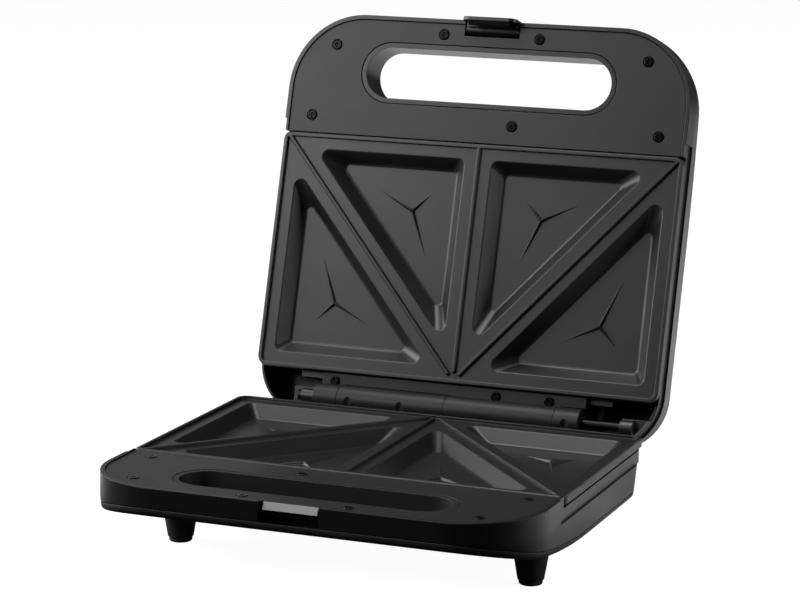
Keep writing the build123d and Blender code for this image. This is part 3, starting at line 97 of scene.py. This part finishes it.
# --- materials -----------------------------------------------------------------------------------------
def linear(colour):
    """sRGB hex to linear RGBA."""
    parts = [int(colour[i:i + 2], 16) / 255 for i in (1, 3, 5)]
    return tuple(p / 12.92 if p <= 0.04045 else ((p + 0.055) / 1.055) ** 2.4 for p in parts) + (1.0,)


def add(tree, kind, settings=None, **inputs):
    """Add a node; an input's value is a number, a colour, or another node's output socket."""
    node = tree.nodes.new(kind)
    for name, value in (settings or {}).items():
        setattr(node, name, value)
    for name, value in inputs.items():
        socket = node.inputs[int(name[1:])] if name[0] == "_" and name[1:].isdigit() else node.inputs[name.replace("_", " ")]
        if isinstance(value, bpy.types.NodeSocket):
            tree.links.new(value, socket)
        else:
            socket.default_value = value
    return node


def per_metre(size_mm):
    """Texture scale whose features are about size_mm across."""
    return 1000.0 / size_mm


def start_material(name):
    """Empty node material, its tree and its output."""
    material = bpy.data.materials.new(name)
    material.use_nodes = True
    tree = material.node_tree
    tree.nodes.clear()
    return material, tree, add(tree, "ShaderNodeOutputMaterial")


def finish_nodes(tree, output, shader):
    tree.links.new(shader.outputs[0], output.inputs["Surface"])


def speckled(tree, place, dark, light, size_mm, contrast):
    """Colour that drifts between two tones with grains of a real size."""
    grain = add(tree, "ShaderNodeTexNoise", Vector=place, Scale=per_metre(size_mm), Detail=3.0, Roughness=0.6)
    ramp = add(tree, "ShaderNodeMapRange", Value=grain.outputs["Fac"], From_Min=0.5 - contrast, From_Max=0.5 + contrast)
    mix = add(tree, "ShaderNodeMix", {"data_type": "RGBA"}, _0=ramp.outputs["Result"], _6=dark, _7=light)
    return mix.outputs[2]


def edge_mask(tree, radius_mm, sharpness):
    """1 along edges and 0 on open faces, from how far a bevelled normal turns away."""
    bevel = add(tree, "ShaderNodeBevel", {"samples": 4}, Radius=radius_mm * MM)
    true = add(tree, "ShaderNodeNewGeometry")
    dot = add(tree, "ShaderNodeVectorMath", {"operation": "DOT_PRODUCT"}, _0=bevel.outputs[0], _1=true.outputs["Normal"])
    mask = add(tree, "ShaderNodeMapRange", Value=dot.outputs["Value"], From_Min=1.0, From_Max=sharpness)
    return mask.outputs["Result"], bevel.outputs[0]


def moulded(name, colour, roughness, grain_mm, grain_depth, specular, painted_highlight_gain, bevel_mm=0.5):
    """Moulded plastic: fine spark-eroded grain, slow drift of tone and a painted highlight along the edges, a lighter
    colour where edges catch light.
    """
    material, tree, output = start_material(name)
    place = add(tree, "ShaderNodeTexCoord").outputs["Object"]
    base = linear(colour)
    light = tuple(min(1.0, c * 1.18) for c in base[:3]) + (1.0,)
    dark = tuple(c * 0.86 for c in base[:3]) + (1.0,)
    tone = speckled(tree, place, dark, light, 55.0, 0.35)
    mask, soft = edge_mask(tree, bevel_mm, 0.86)
    # Painted highlight: edges are mixed towards a lighter colour, as if they caught the light.
    painted_edge_highlight = tuple(min(1.0, c * painted_highlight_gain + 0.004) for c in base[:3]) + (1.0,)
    share = add(tree, "ShaderNodeMath", {"operation": "MULTIPLY"}, _0=mask, _1=0.5)
    tone_with_painted_highlight = add(tree, "ShaderNodeMix", {"data_type": "RGBA"}, _0=share.outputs[0], _6=tone, _7=painted_edge_highlight)
    cloud = add(tree, "ShaderNodeTexNoise", Vector=place, Scale=per_metre(18.0), Detail=4.0)
    rough = add(tree, "ShaderNodeMapRange", Value=cloud.outputs["Fac"], To_Min=roughness - 0.035, To_Max=roughness + 0.035)
    grain = add(tree, "ShaderNodeTexNoise", Vector=place, Scale=per_metre(grain_mm), Detail=2.0)
    bump = add(tree, "ShaderNodeBump", Height=grain.outputs["Fac"], Strength=0.35, Distance=grain_depth * MM, Normal=soft)
    shader = add(tree, "ShaderNodeBsdfPrincipled", Base_Color=tone_with_painted_highlight.outputs[2], Roughness=rough.outputs["Result"],
                 Normal=bump.outputs[0], IOR=1.5, Specular_IOR_Level=specular)
    finish_nodes(tree, output, shader)
    return material


def nonstick(name, colour):
    """PTFE sprayed on cast aluminium: dark, dense, with orange peel and tiny mineral flecks."""
    material, tree, output = start_material(name)
    place = add(tree, "ShaderNodeTexCoord").outputs["Object"]
    base = linear(colour)
    dark = tuple(c * 0.80 for c in base[:3]) + (1.0,)
    light = tuple(c * 1.25 for c in base[:3]) + (1.0,)
    # Real flecks are about 0.1 mm; drawn at 0.9 mm so that they show in the render.
    tone = speckled(tree, place, dark, light, 0.9, 0.28)
    mask, soft = edge_mask(tree, 0.7, 0.86)
    # Painted highlight: edges of the coating are mixed towards a lighter colour, as if they caught the light.
    painted_coating_highlight = tuple(min(1.0, c * 1.9) for c in base[:3]) + (1.0,)
    share = add(tree, "ShaderNodeMath", {"operation": "MULTIPLY"}, _0=mask, _1=0.45)
    tone_with_painted_highlight = add(tree, "ShaderNodeMix", {"data_type": "RGBA"}, _0=share.outputs[0], _6=tone, _7=painted_coating_highlight)
    peel = add(tree, "ShaderNodeTexNoise", Vector=place, Scale=per_metre(1.6), Detail=2.0)
    bump = add(tree, "ShaderNodeBump", Height=peel.outputs["Fac"], Strength=0.4, Distance=0.05 * MM, Normal=soft)
    cloud = add(tree, "ShaderNodeTexNoise", Vector=place, Scale=per_metre(25.0), Detail=3.0)
    rough = add(tree, "ShaderNodeMapRange", Value=cloud.outputs["Fac"], To_Min=0.34, To_Max=0.44)
    shader = add(tree, "ShaderNodeBsdfPrincipled", Base_Color=tone_with_painted_highlight.outputs[2], Roughness=rough.outputs["Result"],
                 Normal=bump.outputs[0], IOR=1.42, Specular_IOR_Level=0.5)
    finish_nodes(tree, output, shader)
    return material


def metal(name, colour, roughness, grain_mm, stretch):
    """Drawn, rolled or oxided metal: fine lines along X and a drift of roughness."""
    material, tree, output = start_material(name)
    place = add(tree, "ShaderNodeTexCoord").outputs["Object"]
    along = add(tree, "ShaderNodeVectorMath", {"operation": "MULTIPLY"}, _0=place, _1=(1.0 / stretch, 1.0, 1.0))
    lines = add(tree, "ShaderNodeTexNoise", Vector=along.outputs[0], Scale=per_metre(grain_mm), Detail=3.0)
    rough = add(tree, "ShaderNodeMapRange", Value=lines.outputs["Fac"], To_Min=roughness * 0.8, To_Max=roughness * 1.2)
    soft = add(tree, "ShaderNodeBevel", {"samples": 4}, Radius=0.2 * MM)
    bump = add(tree, "ShaderNodeBump", Height=lines.outputs["Fac"], Strength=0.3, Distance=0.02 * MM, Normal=soft.outputs[0])
    base = linear(colour)
    dark = tuple(c * 0.8 for c in base[:3]) + (1.0,)
    tone = add(tree, "ShaderNodeMix", {"data_type": "RGBA"}, _0=lines.outputs["Fac"], _6=dark, _7=base)
    shader = add(tree, "ShaderNodeBsdfPrincipled", Base_Color=tone.outputs[2], Roughness=rough.outputs["Result"],
                 Metallic=1.0, Normal=bump.outputs[0])
    finish_nodes(tree, output, shader)
    return material


def new_piece(name, form, material):
    """Turn a bmesh into a smooth-shaded object with one material."""
    mesh = bpy.data.meshes.new(name)
    bmesh.ops.recalc_face_normals(form, faces=form.faces)
    form.to_mesh(mesh)
    form.free()
    mesh.materials.append(material)
    mesh.shade_smooth()
    piece = bpy.data.objects.new(name, mesh)
    bpy.context.scene.collection.objects.link(piece)
    return piece


def bezier(points, steps):
    """Points along a cubic curve."""
    a, b, c, d = [Vector(p) for p in points]
    out = []
    for i in range(steps + 1):
        t = i / steps
        out.append(a * (1 - t) ** 3 + b * 3 * t * (1 - t) ** 2 + c * 3 * t * t * (1 - t) + d * t ** 3)
    return out


def tube(form, path, radius_at, sides):
    """Add a closed tube along a path to a bmesh; radius_at gives its radius for a step."""
    rings = []
    for i, point in enumerate(path):
        ahead = path[min(i + 1, len(path) - 1)] - path[max(i - 1, 0)]
        across = Vector((1, 0, 0))
        up = ahead.cross(across).normalized()
        ring = []
        for k in range(sides):
            turn = 2 * math.pi * k / sides
            ring.append(form.verts.new(point + radius_at(i) * (across * math.cos(turn) + up * math.sin(turn))))
        rings.append(ring)
    for low, high in zip(rings, rings[1:]):
        for k in range(sides):
            form.faces.new((low[k], low[(k + 1) % sides], high[(k + 1) % sides], high[k]))
    form.faces.new(rings[0])
    form.faces.new(rings[-1][::-1])


def cover_node(node, material):
    """Give a carried-over solid its material."""
    part = frame["nodes"][node]
    part.data.materials.clear()
    part.data.materials.append(material)


# --- operators -----------------------------------------------------------------------------------------
class TOASTER_OT_shells(bpy.types.Operator):
    """Finish the moulded shells, cover and latch"""

    bl_idname = "toaster.shells"
    bl_label = "Shells"

    def execute(self, context):
        finish = context.scene.toaster.finish
        # ABS, injection moulded, satin: dark body, soft highlights that stretch along the rounded walls.
        satin = moulded("ABS_moulded_satin_black", finish.shell, 0.36, 0.9, 0.015, 0.35, 2.2)
        for node in ("lid_shell", "base_shell", "latch"):
            cover_node(node, satin)
        # The bottom cover is the same ABS, a shade darker where it was moulded with coarser grain.
        coarse = moulded("ABS_moulded_coarse_black", "#151516", 0.48, 1.3, 0.03, 0.3, 1.8)
        cover_node("bottom_cover", coarse)
        return {"FINISHED"}


class TOASTER_OT_panels(bpy.types.Operator):
    """Finish the flat handle panels"""

    bl_idname = "toaster.panels"
    bl_label = "Handle panels"

    def execute(self, context):
        colour = context.scene.toaster.finish.panel
        # Polypropylene, injection moulded, fine satin: an even grey sheen.
        satin = moulded("PP_moulded_satin_grey", colour, 0.45, 0.8, 0.012, 0.33, 1.7)
        for node in ("lid_panel", "base_panel"):
            cover_node(node, satin)
        return {"FINISHED"}


class TOASTER_OT_plates(bpy.types.Operator):
    """Finish the two cooking plates"""

    bl_idname = "toaster.plates"
    bl_label = "Cooking plates"

    def execute(self, context):
        coating = nonstick("PTFE_sprayed_on_cast_aluminium", context.scene.toaster.finish.coating)
        for node in ("lid_plate", "base_plate"):
            cover_node(node, coating)
        return {"FINISHED"}


class TOASTER_OT_hardware(bpy.types.Operator):
    """Finish the hinge, screws, pins, catch and feet"""

    bl_idname = "toaster.hardware"
    bl_label = "Hinge and small hardware"

    def execute(self, context):
        finish = context.scene.toaster.finish
        # Zinc alloy, die cast and powder coated: slightly rough, soft edges.
        coat = moulded("zinc_alloy_powder_coated", finish.bracket, 0.45, 0.7, 0.03, 0.22, 1.9)
        for node in ("base_hinge_bracket", "lid_hinge_bracket"):
            cover_node(node, coat)
        black = metal("steel_black_oxide", "#161618", 0.26, 0.3, 1.0)
        for node in frame["nodes"]:
            if node.endswith("screws"):
                cover_node(node, black)
        dark = metal("steel_drawn_phosphated", "#1C1C1E", 0.34, 0.15, 12.0)
        for node in ("hinge_pin", "latch_pin"):
            cover_node(node, dark)
        catch = moulded("nylon_moulded_grey", finish.catch, 0.4, 0.8, 0.01, 0.5, 1.15)
        cover_node("latch_catch", catch)
        rubber = moulded("rubber_moulded", "#161616", 0.72, 0.8, 0.03, 0.3, 1.3)
        for node in ("foot_pads", "cord_inlet", "base_lead_sleeve", "lid_lead_sleeve"):
            cover_node(node, rubber)
        return {"FINISHED"}


class TOASTER_OT_insides(bpy.types.Operator):
    """Finish the heating and wiring inside"""

    bl_idname = "toaster.insides"
    bl_label = "Heating and wiring"

    def execute(self, context):
        steel = metal("steel_sheathed_element", "#6E6A66", 0.42, 0.3, 8.0)
        for node in ("base_element", "lid_element", "thermostat", "thermal_fuse"):
            cover_node(node, steel)
        sheet = metal("aluminised_steel_rolled", "#C8C8C6", 0.3, 0.2, 20.0)
        for node in ("base_reflector", "lid_reflector"):
            cover_node(node, sheet)
        white = moulded("polyamide_moulded_white", "#D8D6CE", 0.5, 0.8, 0.01, 0.5, 1.05)
        for node in ("terminal_block", "lamp_holder"):
            cover_node(node, white)
        braid = moulded("glass_braid_over_copper", "#C9C3B2", 0.8, 0.6, 0.06, 0.3, 1.05)
        for node in ("base_wires", "lid_wires"):
            cover_node(node, braid)
        lens = moulded("polycarbonate_moulded_red", "#7A1410", 0.18, 1.0, 0.005, 0.5, 1.1)
        cover_node("lamp_lenses", lens)
        return {"FINISHED"}


class TOASTER_OT_lead(bpy.types.Operator):
    """Make the flexible lead that crosses the hinge between the two sleeves"""

    bl_idname = "toaster.lead"
    bl_label = "Flexible lead"

    def execute(self, context):
        # Silicone over stranded copper, extruded: matt, slightly ribbed where it bends.
        rubber = moulded("silicone_extruded_black", "#141414", 0.6, 0.5, 0.03, 0.35, 1.3)
        sleeve_low, sleeve_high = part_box("base_lead_sleeve")
        lid_low, lid_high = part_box("lid_lead_sleeve")
        x = (sleeve_low.x + sleeve_high.x) / 2
        start = Vector((x, sleeve_high.y - 1.5 * MM, (sleeve_low.z + sleeve_high.z) / 2))
        lean = Vector((0, 0.287, 0.958))
        end = Vector((x, lid_low.y + 2.4 * MM, lid_low.z + 2.2 * MM))
        path = bezier((start, start + Vector((0, 9 * MM, 0)), end - lean * 9 * MM, end), 32)
        form = bmesh.new()
        tube(form, path, lambda i: (1.55 + 0.12 * (i % 2)) * MM, 20)
        lead = new_piece("flexible_lead", form, rubber)
        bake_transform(lead)
        return {"FINISHED"}


class TOASTER_OT_stage(bpy.types.Operator):
    """Build the floor, the lamps and the camera"""

    bl_idname = "toaster.stage"
    bl_label = "Studio"

    def execute(self, context):
        settings = context.scene.toaster
        self.floor(settings)
        self.lamps(settings.lights)
        self.camera(context, settings.camera)
        context.scene.view_settings.view_transform = "Standard"
        return {"FINISHED"}

    def floor(self, settings):
        mesh = bpy.data.meshes.new("floor")
        half = 9.0
        mesh.from_pydata([(-half, -half, 0), (half, -half, 0), (half, half, 0), (-half, half, 0)], [], [(0, 1, 2, 3)])
        floor = bpy.data.objects.new("floor", mesh)
        bpy.context.scene.collection.objects.link(floor)
        # Matt paper: glowing white to the camera so that only a faint shadow stays. For its other rays the floor is
        # painted dark in front of the object and light behind it, painted shade and painted light, so that the front
        # wall mirrors black.
        material, tree, output = start_material("paper_matt_white")
        place = add(tree, "ShaderNodeTexCoord").outputs["Object"]
        parts = add(tree, "ShaderNodeSeparateXYZ", Vector=place)
        # Painted shade and light on the floor: dark in front of the object, light behind it, for every ray but the
        # camera's.
        painted_lit_floor_mask = add(tree, "ShaderNodeMapRange", Value=parts.outputs["Y"], From_Min=-0.12, From_Max=0.08)
        fibre = add(tree, "ShaderNodeTexNoise", Vector=place, Scale=per_metre(2.0), Detail=2.0)
        shade = add(tree, "ShaderNodeMapRange", Value=fibre.outputs["Fac"], To_Min=0.97, To_Max=1.0)
        tone = add(tree, "ShaderNodeMix", {"data_type": "RGBA"}, _0=painted_lit_floor_mask.outputs["Result"],
                   _6=linear("#0A0A0A"), _7=linear("#F0F0F0"))
        paper = add(tree, "ShaderNodeMix", {"data_type": "RGBA", "blend_type": "MULTIPLY"}, _0=1.0,
                    _6=linear(settings.finish.floor), _7=shade.outputs["Result"])
        path = add(tree, "ShaderNodeLightPath").outputs["Is Camera Ray"]
        colour = add(tree, "ShaderNodeMix", {"data_type": "RGBA"}, _0=path, _6=tone.outputs[2], _7=paper.outputs[2])
        diffuse = add(tree, "ShaderNodeBsdfDiffuse", Color=colour.outputs[2])
        glow = add(tree, "ShaderNodeEmission", Color=(1, 1, 1, 1), Strength=1.2)
        share = add(tree, "ShaderNodeMath", {"operation": "MULTIPLY"}, _0=path, _1=0.8)
        mix = add(tree, "ShaderNodeMixShader", _0=share.outputs[0], _1=diffuse.outputs[0], _2=glow.outputs[0])
        finish_nodes(tree, output, mix)
        mesh.materials.append(material)

    def softbox(self, name, place, size, watts, target=(0.0, 0.02, 0.12)):
        lamp = bpy.data.lights.new(name, "AREA")
        lamp.shape = "RECTANGLE"
        lamp.size, lamp.size_y = size
        lamp.energy = watts
        holder = bpy.data.objects.new(name, lamp)
        bpy.context.scene.collection.objects.link(holder)
        holder.location = place
        holder.rotation_euler = (Vector(target) - Vector(place)).to_track_quat("-Z", "Y").to_euler()

    def lamps(self, lights):
        self.softbox("key_softbox", (-1.10, -1.15, 1.05), (0.9, 0.7), lights.key)
        self.softbox("top_softbox", (-0.30, -0.15, 1.45), (1.0, 0.6), lights.top)
        self.softbox("left_card", (-1.2, -0.1, 0.45), (0.9, 0.7), lights.left)
        self.softbox("right_card", (1.3, 0.15, 0.45), (0.9, 0.7), lights.right)
        self.softbox("rear_card", (-0.9, 1.3, 0.45), (1.0, 0.6), lights.rear)
        self.softbox("floor_wash", (0.90, 1.35, 0.90), (0.6, 0.5), lights.wash, (0.55, 0.95, 0.0))
        world = bpy.data.worlds.new("studio_air")
        world.use_nodes = True
        tree = world.node_tree
        tree.nodes.clear()
        path = add(tree, "ShaderNodeLightPath").outputs["Is Camera Ray"]
        air = add(tree, "ShaderNodeBackground", Color=(0.9, 0.95, 1.0, 1.0), Strength=lights.world)
        white = add(tree, "ShaderNodeBackground", Color=(1, 1, 1, 1), Strength=1.0)
        mix = add(tree, "ShaderNodeMixShader", _0=path, _1=air.outputs[0], _2=white.outputs[0])
        finish_nodes(tree, add(tree, "ShaderNodeOutputWorld"), mix)
        bpy.context.scene.world = world

    def camera(self, context, view):
        data = bpy.data.cameras.new("photo_camera")
        data.lens = view.lens
        data.sensor_width = 36.0
        data.clip_start = 0.05
        data.clip_end = 60.0
        camera = bpy.data.objects.new("photo_camera", data)
        context.scene.collection.objects.link(camera)
        turn = (Matrix.Rotation(view.azimuth, 4, "Z") @ Matrix.Rotation(math.radians(90) - view.elevation, 4, "X")
                @ Matrix.Rotation(view.roll, 4, "Z"))
        middle = Vector((0.0, HINGE.y, HINGE.z))
        camera.matrix_world = Matrix.Translation(middle + Vector(view.offset)) @ turn
        context.scene.camera = camera


class TOASTER_PT_panel(bpy.types.Panel):
    """Buttons for each group of pieces"""

    bl_label = "Sandwich toaster"
    bl_idname = "TOASTER_PT_panel"
    bl_space_type = "VIEW_3D"
    bl_region_type = "UI"
    bl_category = "Toaster"

    def draw(self, context):
        for operator in OPERATORS:
            self.layout.operator(operator.bl_idname)


OPERATORS = (TOASTER_OT_stage, TOASTER_OT_shells, TOASTER_OT_panels, TOASTER_OT_plates, TOASTER_OT_hardware,
             TOASTER_OT_insides, TOASTER_OT_lead)
CLASSES = (ToasterCamera, ToasterFinish, ToasterLights, ToasterSettings) + OPERATORS + (TOASTER_PT_panel,)


def register():
    for cls in CLASSES:
        bpy.utils.register_class(cls)
    bpy.types.Scene.toaster = PointerProperty(type=ToasterSettings)


def unregister():
    del bpy.types.Scene.toaster
    for cls in reversed(CLASSES):
        bpy.utils.unregister_class(cls)


def main():
    register()
    bpy.ops.toaster.stage()
    bpy.ops.toaster.shells()
    bpy.ops.toaster.panels()
    bpy.ops.toaster.plates()
    bpy.ops.toaster.hardware()
    bpy.ops.toaster.insides()
    bpy.ops.toaster.lead()


if __name__ == "__main__":
    main()
